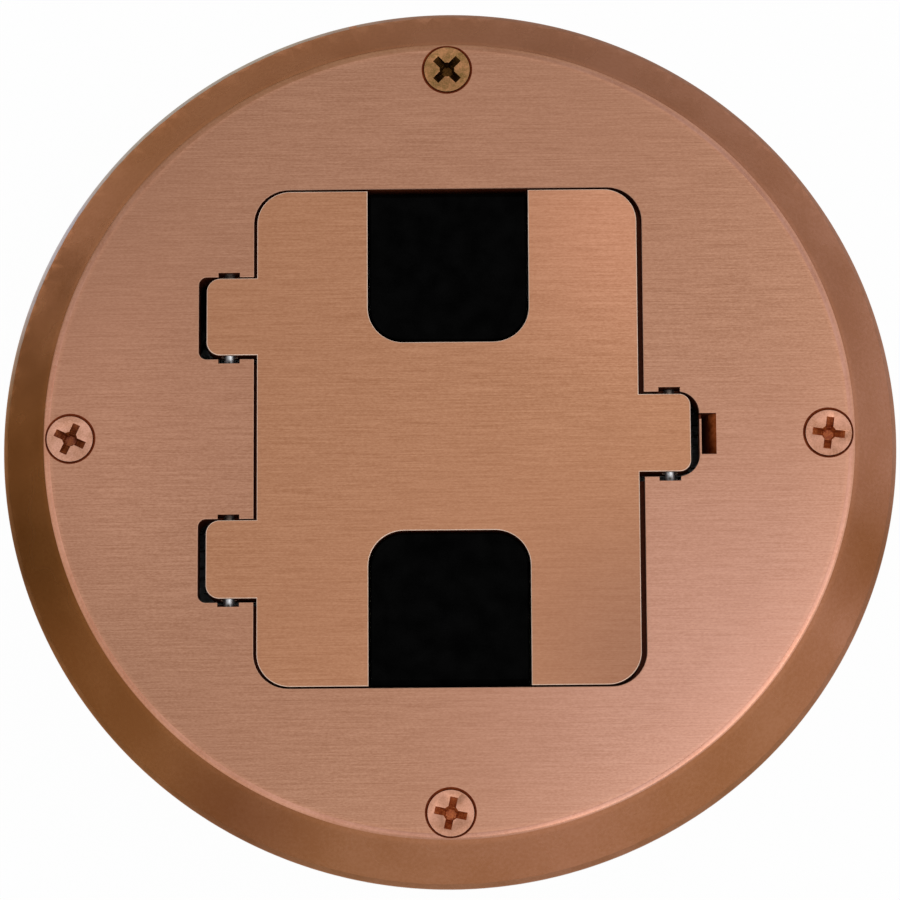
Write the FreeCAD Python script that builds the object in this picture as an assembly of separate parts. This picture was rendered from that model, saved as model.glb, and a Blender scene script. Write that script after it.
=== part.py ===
import FreeCAD, Part
import math
import os

Vector = FreeCAD.Vector
X_AXIS = Vector(1, 0, 0)
Y_AXIS = Vector(0, 1, 0)
Z_AXIS = Vector(0, 0, 1)

# Floor socket box, in millimetres. The finished floor is z = 0 and +Z points out of the floor.
# The lid's hinge is on the -X side, its latch on the +X side, and the cords leave at +Y and -Y.

# Cover plate
cover_diameter = 133.35
cover_height = 7.07
rim_land = 0.6
bevel_width = 6.8
bevel_round = 1.1
rim_round = 0.35
cover_boss_thickness = 5.2
ledge_width = 2.0
seat_ring_width = 5.0
flange_gap = 0.675
box_mouth_gap = 0.5

# Opening in the cover plate that the lid closes
opening_side_margin = 19.35
opening_end_margin = 10.57
opening_corner = 5.2
notch_shift = 0.2

# Lid
lid_thickness = 3.6
lid_gap_hinge = 0.5
lid_gap_latch = 0.8
lid_gap_side = 0.3
lid_seat_gap = 0.1
lid_edge_chamfer = 0.1
opening_edge_chamfer = 0.1

# Tabs on the lid, and the notches in the cover plate round them
tab_width = 11.7
hinge_tab_spacing = 36.7
hinge_tab_reach = 7.52
hinge_tab_corner = 2.0
hinge_pin_from_end = 3.33
hinge_notch_width = 12.55
hinge_notch_end_gap = 1.2
hinge_notch_corner = 1.2
latch_tab_y = 0.2
latch_tab_reach = 7.66
latch_tab_corner = 1.7
latch_pin_from_end = 3.1
latch_notch_width = 12.86
latch_notch_end_gap = 1.3
latch_notch_corner = 3.25

# Pockets in the notch walls that show the pin noses
pocket_width = 3.2
pocket_depth = 0.65
pocket_floor_gap = 0.3

# Spring bars: a crimped tube with a plunger at each end and a spring between them
bar_tube_outer_radius = 1.2
bar_tube_inner_radius = 0.95
bar_tube_setback = 0.1
bar_lip_length = 0.4
bar_head_length = 1.2
bar_nose_radius = 0.8
bar_nose_taper = 0.45
bar_nose_tip_radius = 0.45
bar_spring_wall = 0.25
hinge_nose_reach = 1.9
hinge_bore_depth = 1.4
detent_depth = 0.2

# Pry slot beside the latch notch
pry_slot_length = 6.2
pry_slot_width = 2.2
pry_wall = 0.3
pry_wall_height = 3.3
pry_lip_depth = 0.3
pry_ramp_width = 1.15
pry_ramp_depth = 1.0
pry_floor_height = 0.5
pry_gap_length = 0.9
pry_gap_depth = 1.3

# Cord notches in the lid, and the doors that fill them
cord_notch_width = 24.0
cord_notch_depth = 23.2
cord_notch_corner = 5.3
door_thickness = 2.2
door_set_down = 0.4
door_side_gap = 0.35
door_free_gap = 0.55
door_free_chamfer = 0.7
door_edge_chamfer = 0.2
door_axis_inset = 1.95
door_barrel_radius = 1.5
door_barrel_gap = 0.3
door_stop_gap = 0.15
door_arm_thickness = 2.0
door_arm_width = 4.0
door_arm_setback = 0.3
door_spring_length = 7.0
door_spring_wall = 0.4
door_pin_radius = 0.75
lug_width = 2.4
lug_radius = 1.8

# Screws, and the way each cross recess is turned, in degrees
cover_screw_inset = 5.45
east_screw_turn = -7.5
north_screw_turn = 45.0
west_screw_turn = -25.0
south_screw_turn = -12.0
cover_screw_head_radius = 3.435
cover_screw_shank_radius = 1.73
cover_screw_set_down = 0.12
cover_screw_bottom = 0.4
cover_countersink_radius = 3.7
countersink_angle = 82.0
recess_span = 4.6
recess_wing = 0.95
recess_depth = 1.9
recess_foot_span = 1.5
recess_centre_radius = 1.1
recess_foot_radius = 0.4
pan_head_radius = 3.3
pan_head_height = 1.7
pan_head_chamfer = 0.7
slot_width = 1.0
slot_depth = 0.8
ground_screw_length = 4.0
ground_screw_turn = 20.0
plate_screw_length = 9.0
plate_screw_turn = 35.0
yoke_screw_length = 9.0
yoke_screw_turn = 60.0
terminal_screw_length = 3.5
thread_runout = 1.0

# Box body
box_wall = 2.0
box_bottom_chamfer = 3.0
box_inner_chamfer = 2.0
yoke_wall_gap = 2.8
rear_space = 8.3
flange_width = 10.2
flange_thickness = 3.0
flange_hole_inset = 4.2
flange_hole_radius = 2.1
flange_countersink_radius = 4.0
hub_bore_radius = 11.1
hub_radius = 13.5
hub_stand_out = 0.5
hub_inner_wall = 4.3
hub_height = 18.0
gasket_thickness = 0.8
post_width = 10.0
post_gap = 0.58
post_thread_depth = 11.0
ground_boss_radius = 4.5
ground_boss_gap = 0.6
ground_boss_from_post = 8.0

# Receptacle
face_below_floor = 42.0
outlet_bridge = 10.3
outlet_flat_depth = 2.75
outlet_above_plate = 1.2
plate_skin = 1.2
plate_height = 3.7
plate_edge_chamfer = 0.9
plate_side_gap = 1.2
plate_outlet_gap = 0.3
yoke_thickness = 1.4
yoke_width = 20.0
yoke_ear_corner = 3.0
yoke_screw_from_body = 7.35
yoke_screw_from_end = 4.35
body_width = 33.0
body_end_margin = 0.55
body_depth = 24.0
body_corner = 2.0
face_flange = 2.6
blade_spacing = 12.7
blade_offset = 4.0
ground_hole_from_flat = 6.4
line_slot_length = 7.0
neutral_slot_length = 8.6
blade_slot_width = 1.9
ground_hole_radius = 2.6
contact_thickness = 0.8
contact_height = 10.0
contact_side_length = 33.0
terminal_spacing = 19.0
rivet_radius = 2.8
rivet_head_lip = 1.2
rivet_head_height = 0.8
rivet_thread_depth = 8.0

# Clearances
running_clearance = 0.05
press_clearance = 0.02
screw_clearance = 0.05
seat_clearance = 0.02
fit_clearance = 0.3

# The plan sizes, from the cover plate inwards to the receptacle
rim_radius = cover_diameter / 2
face_radius = rim_radius - bevel_width
recess_radius = rim_radius - seat_ring_width
flange_radius = recess_radius - flange_gap
box_radius = flange_radius - flange_width
box_inner_radius = box_radius - box_wall
boss_radius = box_inner_radius - box_mouth_gap
yoke_end_y = box_inner_radius - yoke_wall_gap
yoke_screw_y = yoke_end_y - yoke_screw_from_end
body_length = 2 * (yoke_screw_y - yoke_screw_from_body)
outlet_flat_width = (body_length - outlet_bridge) / 2 - body_end_margin
outlet_spacing = outlet_flat_width + outlet_bridge
outlet_diameter = outlet_flat_width + 2 * outlet_flat_depth
ground_offset = outlet_flat_width / 2 - ground_hole_from_flat
screw_radius = box_radius + cover_screw_inset
flange_hole_circle = 2 * (box_radius + flange_hole_inset)
opening_width = 2 * (boss_radius - opening_side_margin)
opening_length = 2 * (boss_radius - opening_end_margin)

# Levels and places that follow from the sizes above
boss_bottom = cover_height - cover_boss_thickness
recess_top = flange_thickness + gasket_thickness
lid_bottom = cover_height - lid_thickness
ledge_top = lid_bottom - lid_seat_gap
pin_height = cover_height - lid_thickness / 2
lid_west = -opening_width / 2 + lid_gap_hinge
lid_east = opening_width / 2 - lid_gap_latch
lid_north = opening_length / 2 - lid_gap_side
hinge_tab_end = lid_west - hinge_tab_reach
latch_tab_end = lid_east + latch_tab_reach
hinge_x = hinge_tab_end + hinge_pin_from_end
latch_x = latch_tab_end - latch_pin_from_end
hinge_notch_end = hinge_tab_end - hinge_notch_end_gap
latch_notch_end = latch_tab_end + latch_notch_end_gap
latch_notch_y = latch_tab_y - notch_shift
door_axis_y = lid_north - cord_notch_depth - door_axis_inset
door_axis_z = lid_bottom - door_barrel_gap - door_barrel_radius
face_top = -face_below_floor
plate_top = face_top - outlet_above_plate
yoke_top = plate_top - plate_height
yoke_bottom = yoke_top - yoke_thickness
body_bottom = yoke_bottom - body_depth
yoke_back = body_bottom - yoke_thickness
box_floor_top = yoke_back - rear_space
box_depth = box_wall - box_floor_top
ground_boss_top = yoke_back - ground_boss_gap - pan_head_height
yoke_leg_y = body_length / 2 + seat_clearance
ground_screw_seat_y = yoke_leg_y + yoke_thickness
post_inner_y = ground_screw_seat_y + pan_head_height + post_gap
ground_boss_offset = post_inner_y - ground_boss_from_post
hub_z = hub_height - box_depth
head_slope = math.tan(math.radians(countersink_angle / 2))
overrun = 0.1
same_place = 1e-4


def block(x0, x1, y0, y1, z0, z1):
    return Part.makeBox(x1 - x0, y1 - y0, z1 - z0, Vector(x0, y0, z0))


def disc(radius, z0, z1, x=0.0, y=0.0):
    return Part.makeCylinder(radius, z1 - z0, Vector(x, y, z0), Z_AXIS)


def rod_x(radius, x0, x1, y, z):
    return Part.makeCylinder(radius, x1 - x0, Vector(x0, y, z), X_AXIS)


def rod_y(radius, y0, y1, x, z):
    return Part.makeCylinder(radius, y1 - y0, Vector(x, y0, z), Y_AXIS)


def prism(points, direction):
    """Extrudes a closed outline of points along a direction."""
    outline = Part.makePolygon(points + points[:1])
    return Part.Face(outline).extrude(direction)


def rounded_block(x0, x1, y0, y1, z0, z1, corner):
    """A block with its four upright edges rounded."""
    solid = block(x0, x1, y0, y1, z0, z1)
    if corner <= 0:
        return solid
    upright = [e for e in solid.Edges if abs(e.tangentAt(e.FirstParameter).z) > 0.99]
    return solid.makeFillet(corner, upright)


def revolved(profile):
    """Turns a closed outline of (radius, z) points about the Z axis."""
    points = [Vector(r, 0, z) for r, z in profile]
    outline = Part.makePolygon(points + points[:1])
    return Part.Face(outline).revolve(Vector(0, 0, 0), Z_AXIS, 360)


def edges_at(solid, z, reach=math.inf):
    """The edges that lie wholly at one height, within a reach of the Z axis along X and Y."""
    found = []
    for edge in solid.Edges:
        box = edge.BoundBox
        level = abs(box.ZMin - z) < same_place and abs(box.ZMax - z) < same_place
        furthest = max(-box.XMin, box.XMax, -box.YMin, box.YMax)
        if level and furthest <= reach:
            found.append(edge)
    return found


def circle_edges(solid, radius, z):
    """The full circle edges of one radius at one height, centred on the Z axis."""
    found = []
    for edge in solid.Edges:
        curve = edge.Curve
        if not isinstance(curve, Part.Circle):
            continue
        if abs(curve.Radius - radius) < same_place and abs(curve.Center.z - z) < same_place:
            found.append(edge)
    return found


def turned(solid, degrees):
    """A copy turned about the Z axis."""
    copy = solid.copy()
    copy.rotate(Vector(0, 0, 0), Z_AXIS, degrees)
    return copy


def mirrored_y(solid):
    return solid.mirror(Vector(0, 0, 0), Y_AXIS)


def mirrored_x(solid):
    return solid.mirror(Vector(0, 0, 0), X_AXIS)


def save(name, *solids):
    """Writes one node, as one solid or as a group of separate solids."""
    shape = solids[0] if len(solids) == 1 else Part.makeCompound(list(solids))
    shape = shape.removeSplitter()
    shape.exportStep("parts/" + name + ".step")


# Cover plate ------------------------------------------------------------------------------------


def notch(end_x, inside_x, centre_y, width, corner):
    """A through notch beside the lid opening, from its end wall into the opening."""
    low_x = min(end_x, inside_x)
    high_x = max(end_x, inside_x)
    low_y = centre_y - width / 2
    return rounded_block(low_x, high_x, low_y, low_y + width, boss_bottom, cover_height, corner)


def nose_pockets(x, centre_y, width):
    """The two open-topped pockets in a notch's side walls."""
    half = width / 2 + pocket_depth
    floor = pin_height - bar_nose_radius - pocket_floor_gap
    low_x = x - pocket_width / 2
    return block(low_x, low_x + pocket_width, centre_y - half, centre_y + half, floor, cover_height)


def hinge_bores(centre_y):
    """Blind bores in the pockets' end walls, which the hinge noses turn in."""
    half = hinge_notch_width / 2 + pocket_depth + hinge_bore_depth
    radius = bar_nose_radius + running_clearance
    return rod_y(radius, centre_y - half, centre_y + half, hinge_x, pin_height)


def latch_detents():
    """Shallow tapered dimples in the latch pockets' end walls, in which the noses rest."""
    half = latch_notch_width / 2 + pocket_depth
    floor_radius = bar_nose_tip_radius + running_clearance
    mouth_radius = floor_radius + detent_depth * (bar_nose_radius - bar_nose_tip_radius) / bar_nose_taper
    north = Part.makeCone(mouth_radius, floor_radius, detent_depth, Vector(0, 0, 0), Y_AXIS)
    south = mirrored_y(north)
    north.translate(Vector(latch_x, latch_notch_y + half, pin_height))
    south.translate(Vector(latch_x, latch_notch_y - half, pin_height))
    return [north, south]


def pry_slot():
    """A slot for a screwdriver, whose floor slopes down to the latch notch under a thin wall.

    The wall stops short of the slot's north end and leaves a gap there.
    """
    west = latch_notch_end
    inner = west + pry_wall
    outer = inner + pry_slot_width
    wall_foot = cover_height - pry_wall_height
    ramp_foot = outer - pry_ramp_width
    floor = boss_bottom + pry_floor_height
    south = latch_notch_y - pry_slot_length / 2
    outline = [
        Vector(inner, south, cover_height),
        Vector(outer, south, cover_height),
        Vector(outer, south, cover_height - pry_lip_depth),
        Vector(ramp_foot, south, cover_height - pry_ramp_depth),
        Vector(inner, south, floor),
        Vector(west - ledge_width, south, floor),
        Vector(west - ledge_width, south, wall_foot),
        Vector(inner, south, wall_foot),
    ]
    slot = prism(outline, Vector(0, pry_slot_length, 0))
    north = south + pry_slot_length
    gap_floor = cover_height - pry_gap_depth
    gap = block(west - ledge_width, inner, north - pry_gap_length, north, gap_floor, cover_height)
    return slot.fuse(gap)


def countersunk_hole(x, y, top, hole_radius, head_radius, bottom):
    depth = (head_radius - hole_radius) / head_slope
    cone = Part.makeCone(hole_radius, head_radius, depth, Vector(x, y, top - depth), Z_AXIS)
    return cone.fuse(disc(hole_radius, bottom, top, x, y))


def on_circle(radius, first_angle):
    """Four points a quarter turn apart on a circle."""
    angles = [math.radians(first_angle + 90 * n) for n in range(4)]
    return [(radius * math.cos(a), radius * math.sin(a)) for a in angles]


def cover_plate():
    plate = revolved([
        (0, boss_bottom),
        (boss_radius, boss_bottom),
        (boss_radius, recess_top),
        (recess_radius, recess_top),
        (recess_radius, 0),
        (rim_radius, 0),
        (rim_radius, rim_land),
        (face_radius, cover_height),
        (0, cover_height),
    ])
    plate = plate.makeFillet(bevel_round, circle_edges(plate, face_radius, cover_height))
    plate = plate.makeFillet(rim_round, circle_edges(plate, rim_radius, rim_land))
    half_x = opening_width / 2
    half_y = opening_length / 2
    upper = rounded_block(-half_x, half_x, -half_y, half_y, ledge_top, cover_height, opening_corner)
    inner_x = half_x - ledge_width
    inner_y = half_y - ledge_width
    inner_corner = opening_corner - ledge_width
    through = rounded_block(-inner_x, inner_x, -inner_y, inner_y, boss_bottom, cover_height, inner_corner)
    half_door = cord_notch_width / 2
    door_way = block(-half_door, half_door, -half_y, half_y, boss_bottom, cover_height)
    cuts = [upper, through, door_way]
    fine_cuts = [pry_slot()] + latch_detents()
    clear_of_ledge = ledge_width + hinge_notch_corner + latch_notch_corner
    for side in (1, -1):
        y = side * hinge_tab_spacing / 2 - notch_shift
        inside = clear_of_ledge - half_x
        cuts.append(notch(hinge_notch_end, inside, y, hinge_notch_width, hinge_notch_corner))
        fine_cuts.append(nose_pockets(hinge_x, y, hinge_notch_width))
        fine_cuts.append(hinge_bores(y))
    inside = half_x - clear_of_ledge
    cuts.append(notch(latch_notch_end, inside, latch_notch_y, latch_notch_width, latch_notch_corner))
    fine_cuts.append(nose_pockets(latch_x, latch_notch_y, latch_notch_width))
    plate = plate.cut(cuts)
    opening_edges = edges_at(plate, cover_height, face_radius - 2 * bevel_round)
    plate = plate.makeChamfer(opening_edge_chamfer, opening_edges)
    hole = cover_screw_shank_radius + fit_clearance
    for x, y in on_circle(screw_radius, 0):
        fine_cuts.append(countersunk_hole(x, y, cover_height, hole, cover_countersink_radius, recess_top))
    return plate.cut(fine_cuts)


# Lid --------------------------------------------------------------------------------------------


def tab(end_x, root_x, centre_y, corner):
    low_x = min(end_x, root_x)
    high_x = max(end_x, root_x)
    low_y = centre_y - tab_width / 2
    return rounded_block(low_x, high_x, low_y, low_y + tab_width, lid_bottom, cover_height, corner)


def bar_bore(x, centre_y):
    half = tab_width / 2
    return rod_y(bar_tube_outer_radius + press_clearance, centre_y - half, centre_y + half, x, pin_height)


def cord_notch():
    """The notch at the lid's +Y end, with round inner corners."""
    half = cord_notch_width / 2
    inner = lid_north - cord_notch_depth
    beyond = lid_north + 2 * cord_notch_corner
    return rounded_block(-half, half, inner, beyond, lid_bottom, cover_height, cord_notch_corner)


def door_lug(x0):
    """One of the two ears under the lid that hold a cord door's pin."""
    round_end = rod_x(lug_radius, x0, x0 + lug_width, door_axis_y, door_axis_z)
    south = door_axis_y - lug_radius
    north = door_axis_y + lug_radius
    top = block(x0, x0 + lug_width, south, north, door_axis_z, lid_bottom)
    lug = round_end.fuse(top)
    return lug.cut(rod_x(door_pin_radius + press_clearance, x0, x0 + lug_width, door_axis_y, door_axis_z))


def lug_inner_x():
    return door_spring_length / 2 + door_arm_width + 2 * fit_clearance


def lid():
    corner = opening_corner - lid_gap_side
    plate = rounded_block(lid_west, lid_east, -lid_north, lid_north, lid_bottom, cover_height, corner)
    root = hinge_tab_corner + latch_tab_corner
    hinge_ys = [hinge_tab_spacing / 2, -hinge_tab_spacing / 2]
    tabs = [tab(hinge_tab_end, lid_west + root, y, hinge_tab_corner) for y in hinge_ys]
    tabs.append(tab(latch_tab_end, lid_east - root, latch_tab_y, latch_tab_corner))
    plate = plate.fuse(tabs).removeSplitter()
    plate = plate.cut([cord_notch(), mirrored_y(cord_notch())])
    plate = plate.makeChamfer(lid_edge_chamfer, edges_at(plate, cover_height))
    bores = [bar_bore(hinge_x, y) for y in hinge_ys]
    bores.append(bar_bore(latch_x, latch_tab_y))
    plate = plate.cut(bores)
    east = door_lug(lug_inner_x())
    pair = [east, mirrored_x(east)]
    return plate.fuse(pair + [mirrored_y(lug) for lug in pair])


# Spring bars ------------------------------------------------------------------------------------


def bar_tube(x, centre_y):
    half = tab_width / 2 - bar_tube_setback
    tube = rod_y(bar_tube_outer_radius, centre_y - half, centre_y + half, x, pin_height)
    lip_bore = rod_y(bar_nose_radius + running_clearance, centre_y - half, centre_y + half, x, pin_height)
    inside = half - bar_lip_length
    bore = rod_y(bar_tube_inner_radius, centre_y - inside, centre_y + inside, x, pin_height)
    return tube.cut([lip_bore, bore])


def nose_length():
    """From a plunger's head to the tip of its nose."""
    return hinge_nose_reach + bar_tube_setback + bar_lip_length + seat_clearance


def nose_tip(root_radius, tip_radius, length):
    """A tapered nose tip that ends at y = 0 and points to +Y."""
    return Part.makeCone(root_radius, tip_radius, length, Vector(0, -length, 0), Y_AXIS)


def plunger(x, tip_y, side):
    """A plunger whose nose points to +Y (side 1) or to -Y (side -1)."""
    head_radius = bar_tube_inner_radius - running_clearance
    nose = rod_y(bar_nose_radius, -nose_length(), -bar_nose_taper, 0, 0)
    tip = nose_tip(bar_nose_radius, bar_nose_tip_radius, bar_nose_taper)
    head = rod_y(head_radius, -nose_length() - bar_head_length, -nose_length(), 0, 0)
    solid = nose.fuse([tip, head]).removeSplitter()
    if side < 0:
        solid = mirrored_y(solid)
    solid.translate(Vector(x, tip_y, pin_height))
    return solid


def bar_spring(x, south_tip, north_tip):
    """The bar's spring, as the sleeve that its coils fill, between the two plunger heads."""
    back = nose_length() + bar_head_length + seat_clearance
    outer = bar_tube_inner_radius - 2 * running_clearance
    south = south_tip + back
    north = north_tip - back
    tube = rod_y(outer, south, north, x, pin_height)
    return tube.cut(rod_y(outer - bar_spring_wall, south, north, x, pin_height))


def save_bar(name, x, centre_y, south_tip, north_tip):
    save(name + "_tube", bar_tube(x, centre_y))
    save(name + "_plunger_north", plunger(x, north_tip, 1))
    save(name + "_plunger_south", plunger(x, south_tip, -1))
    save(name + "_spring", bar_spring(x, south_tip, north_tip))


def save_bars():
    half = tab_width / 2 + hinge_nose_reach
    for name, y in (("hinge_bar_north", hinge_tab_spacing / 2), ("hinge_bar_south", -hinge_tab_spacing / 2)):
        save_bar(name, hinge_x, y, y - half, y + half)
    rest = latch_notch_width / 2 + pocket_depth + detent_depth - running_clearance
    save_bar("latch_bar", latch_x, latch_tab_y, latch_notch_y - rest, latch_notch_y + rest)


# Cord doors -------------------------------------------------------------------------------------


def cord_door():
    """The cord door at the +Y end: a plate in the lid's notch on two arms that reach under the lid."""
    top = cover_height - door_set_down
    bottom = top - door_thickness
    half = cord_notch_width / 2 - door_side_gap
    inner = lid_north - cord_notch_depth + door_side_gap
    outer = opening_length / 2 - door_free_gap
    corner = cord_notch_corner - door_side_gap
    plate = rounded_block(-half, half, inner, outer + 2 * corner, bottom, top, corner)
    plate = plate.cut(block(-half, half, outer, outer + 2 * corner, bottom, top))
    free_edge = [e for e in edges_at(plate, top) if e.BoundBox.YMin > outer - same_place]
    plate = plate.makeChamfer(door_free_chamfer, free_edge)
    chamfer_start = outer - door_free_chamfer
    border = [e for e in edges_at(plate, top) if e.BoundBox.YMin < chamfer_start - same_place]
    plate = plate.makeChamfer(door_edge_chamfer, border)
    near = door_spring_length / 2 + fit_clearance
    far = near + door_arm_width
    reach = inner + door_arm_thickness
    arm_top = lid_bottom - door_stop_gap
    arm_bottom = door_axis_z - door_barrel_radius + door_arm_setback
    arms = []
    for x0 in (near, -far):
        foot = block(x0, x0 + door_arm_width, door_axis_y, reach, arm_bottom, arm_top)
        stem = block(x0, x0 + door_arm_width, inner, reach, arm_bottom, bottom)
        barrel = rod_x(door_barrel_radius, x0, x0 + door_arm_width, door_axis_y, door_axis_z)
        arms += [foot, stem, barrel]
    door = plate.fuse(arms).removeSplitter()
    pin = rod_x(door_pin_radius + running_clearance, -far, far, door_axis_y, door_axis_z)
    return door.cut(pin)


def door_pin():
    end = lug_inner_x() + lug_width
    return rod_x(door_pin_radius, -end, end, door_axis_y, door_axis_z)


def door_spring():
    """The door's torsion spring, as the sleeve that its coils fill round the pin."""
    half = door_spring_length / 2
    inner = door_pin_radius + 2 * running_clearance
    sleeve = rod_x(inner + door_spring_wall, -half, half, door_axis_y, door_axis_z)
    return sleeve.cut(rod_x(inner, -half, half, door_axis_y, door_axis_z))


# Screws -----------------------------------------------------------------------------------------


def cross_recess(x, y, top, angle):
    """A cross recess: two wings that narrow towards the foot, and a tapered centre."""
    side = -recess_wing / 2
    outline = [
        Vector(-recess_span / 2, side, overrun),
        Vector(recess_span / 2, side, overrun),
        Vector(recess_foot_span / 2, side, -recess_depth),
        Vector(-recess_foot_span / 2, side, -recess_depth),
    ]
    wing = prism(outline, Vector(0, recess_wing, 0))
    centre = Part.makeCone(recess_foot_radius, recess_centre_radius, recess_depth,
                           Vector(0, 0, -recess_depth), Z_AXIS)
    cross = wing.fuse([turned(wing, 90), centre])
    cross = turned(cross, angle)
    cross.translate(Vector(x, y, top))
    return cross


def flat_head_screw(x, y, angle):
    top = cover_height - cover_screw_set_down
    depth = (cover_screw_head_radius - cover_screw_shank_radius) / head_slope
    head = Part.makeCone(cover_screw_shank_radius, cover_screw_head_radius, depth,
                         Vector(x, y, top - depth), Z_AXIS)
    shank = disc(cover_screw_shank_radius, cover_screw_bottom, top - depth, x, y)
    return head.fuse(shank).cut(cross_recess(x, y, top, angle))


def driver_slot(x, y, top, angle):
    """A straight slot across a pan head."""
    half = slot_width / 2
    slot = block(-pan_head_radius, pan_head_radius, -half, half, -slot_depth, overrun)
    slot = turned(slot, angle)
    slot.translate(Vector(x, y, top))
    return slot


def pan_head_screw(x, y, seat, length, angle):
    """A pan-head screw that stands on a seat and reaches down from it."""
    head = disc(pan_head_radius, seat, seat + pan_head_height, x, y)
    head = head.makeChamfer(pan_head_chamfer, edges_at(head, seat + pan_head_height))
    shank = disc(cover_screw_shank_radius, seat - length, seat, x, y)
    return head.fuse(shank).cut(driver_slot(x, y, seat + pan_head_height, angle))


# Box body ---------------------------------------------------------------------------------------


def device_posts():
    """The two cast posts that the receptacle's yoke is screwed to."""
    half = post_width / 2
    in_wall = box_inner_radius + box_wall / 2
    south = block(-half, half, -in_wall, -post_inner_y, box_floor_top, yoke_bottom)
    south = south.common(disc(in_wall, box_floor_top, yoke_bottom))
    return [south, mirrored_y(south)]


def box_body():
    floor = -box_depth
    body = revolved([
        (0, floor),
        (box_radius, floor),
        (box_radius, 0),
        (flange_radius, 0),
        (flange_radius, flange_thickness),
        (box_inner_radius, flange_thickness),
        (box_inner_radius, box_floor_top),
        (0, box_floor_top),
    ])
    body = body.makeChamfer(box_bottom_chamfer, circle_edges(body, box_radius, floor))
    body = body.makeChamfer(box_inner_chamfer, circle_edges(body, box_inner_radius, box_floor_top))
    hub_end = box_radius + hub_stand_out
    east_hub = rod_x(hub_radius, hub_end - hub_inner_wall, hub_end, 0, hub_z)
    boss = disc(ground_boss_radius, box_floor_top, ground_boss_top, 0, ground_boss_offset)
    body = body.fuse(device_posts() + [east_hub, mirrored_x(east_hub), boss])
    cuts = [rod_x(hub_bore_radius, -hub_end, hub_end, 0, hub_z)]
    tapped = cover_screw_shank_radius + screw_clearance
    for x, y in on_circle(screw_radius, 0):
        cuts.append(disc(tapped, 0, flange_thickness, x, y))
    for x, y in on_circle(flange_hole_circle / 2, 45):
        hole = countersunk_hole(x, y, flange_thickness, flange_hole_radius, flange_countersink_radius, 0)
        cuts.append(hole)
    for side in (1, -1):
        cuts.append(disc(tapped, yoke_bottom - post_thread_depth, yoke_bottom, 0, side * yoke_screw_y))
    boss_thread = ground_screw_length + thread_runout
    cuts.append(disc(tapped, ground_boss_top - boss_thread, ground_boss_top, 0, ground_boss_offset))
    return body.cut(cuts)


def cover_gasket():
    ring = disc(recess_radius - fit_clearance, flange_thickness, recess_top)
    hole = cover_screw_shank_radius + fit_clearance
    cuts = [disc(box_inner_radius, flange_thickness, recess_top)]
    cuts += [disc(hole, flange_thickness, recess_top, x, y) for x, y in on_circle(screw_radius, 0)]
    return ring.cut(cuts)


# Receptacle -------------------------------------------------------------------------------------


def outlet_outline(centre_y, z0, z1, grow):
    """A round outlet face with its two flats, larger by grow all round."""
    round_face = disc(outlet_diameter / 2 + grow, z0, z1, 0, centre_y)
    half_flat = outlet_flat_width / 2 + grow
    south = centre_y - half_flat
    north = centre_y + half_flat
    return round_face.common(block(-outlet_diameter, outlet_diameter, south, north, z0, z1))


def outlet_centres():
    return [outlet_spacing / 2, -outlet_spacing / 2]


def receptacle_face():
    flange_bottom = yoke_bottom
    flange_top = yoke_bottom + face_flange
    half_x = body_width / 2
    half_y = body_length / 2
    face = rounded_block(-half_x, half_x, -half_y, half_y, flange_bottom, flange_top, body_corner)
    face = face.fuse([outlet_outline(y, flange_bottom, face_top, 0) for y in outlet_centres()])
    cuts = [disc(rivet_radius + running_clearance, flange_bottom, flange_top)]
    for y in outlet_centres():
        blade_y = y + blade_offset
        for side, length in ((1, line_slot_length), (-1, neutral_slot_length)):
            x0 = side * blade_spacing / 2 - blade_slot_width / 2
            y0 = blade_y - length / 2
            cuts.append(block(x0, x0 + blade_slot_width, y0, y0 + length, flange_bottom, face_top))
        cuts.append(disc(ground_hole_radius, flange_bottom, face_top, 0, y - ground_offset))
    return face.cut(cuts)


def side_contact():
    """The line side's brass strip: a side plate and a pair of spring jaws behind each blade slot."""
    side_x = body_width / 2 - contact_thickness
    top = yoke_bottom - seat_clearance
    bottom = top - contact_height
    half = contact_side_length / 2 + blade_offset
    pieces = [block(side_x, side_x + contact_thickness, -half, half, bottom, top)]
    jaw_gap = blade_slot_width / 2
    for y in outlet_centres():
        blade_y = y + blade_offset
        y0 = blade_y - neutral_slot_length / 2
        y1 = blade_y + neutral_slot_length / 2
        inner = blade_spacing / 2 - jaw_gap - contact_thickness
        pieces.append(block(inner, side_x, y0, y1, bottom, bottom + contact_thickness))
        pieces.append(block(inner, inner + contact_thickness, y0, y1, bottom, top))
        outer = blade_spacing / 2 + jaw_gap
        pieces.append(block(outer, outer + contact_thickness, y0, y1, bottom, top))
        pieces.append(block(side_x, side_x + contact_thickness, min(y0, 0), max(y1, 0), bottom, top))
    contact = pieces[0].fuse(pieces[1:]).removeSplitter()
    hole = cover_screw_shank_radius + screw_clearance
    z = (top + bottom) / 2
    for y in (terminal_spacing / 2, -terminal_spacing / 2):
        contact = contact.cut(rod_x(hole, side_x, side_x + contact_thickness, y, z))
    return contact


def contact_room():
    """The space in the base that one side contact fills, with a clearance round it."""
    top = yoke_bottom
    bottom = top - contact_height - fit_clearance
    inner = blade_spacing / 2 - blade_slot_width / 2 - contact_thickness - fit_clearance
    half = outlet_spacing / 2 + blade_offset + neutral_slot_length / 2 + fit_clearance
    return block(inner, body_width / 2, -half, half, bottom, top)


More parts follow.
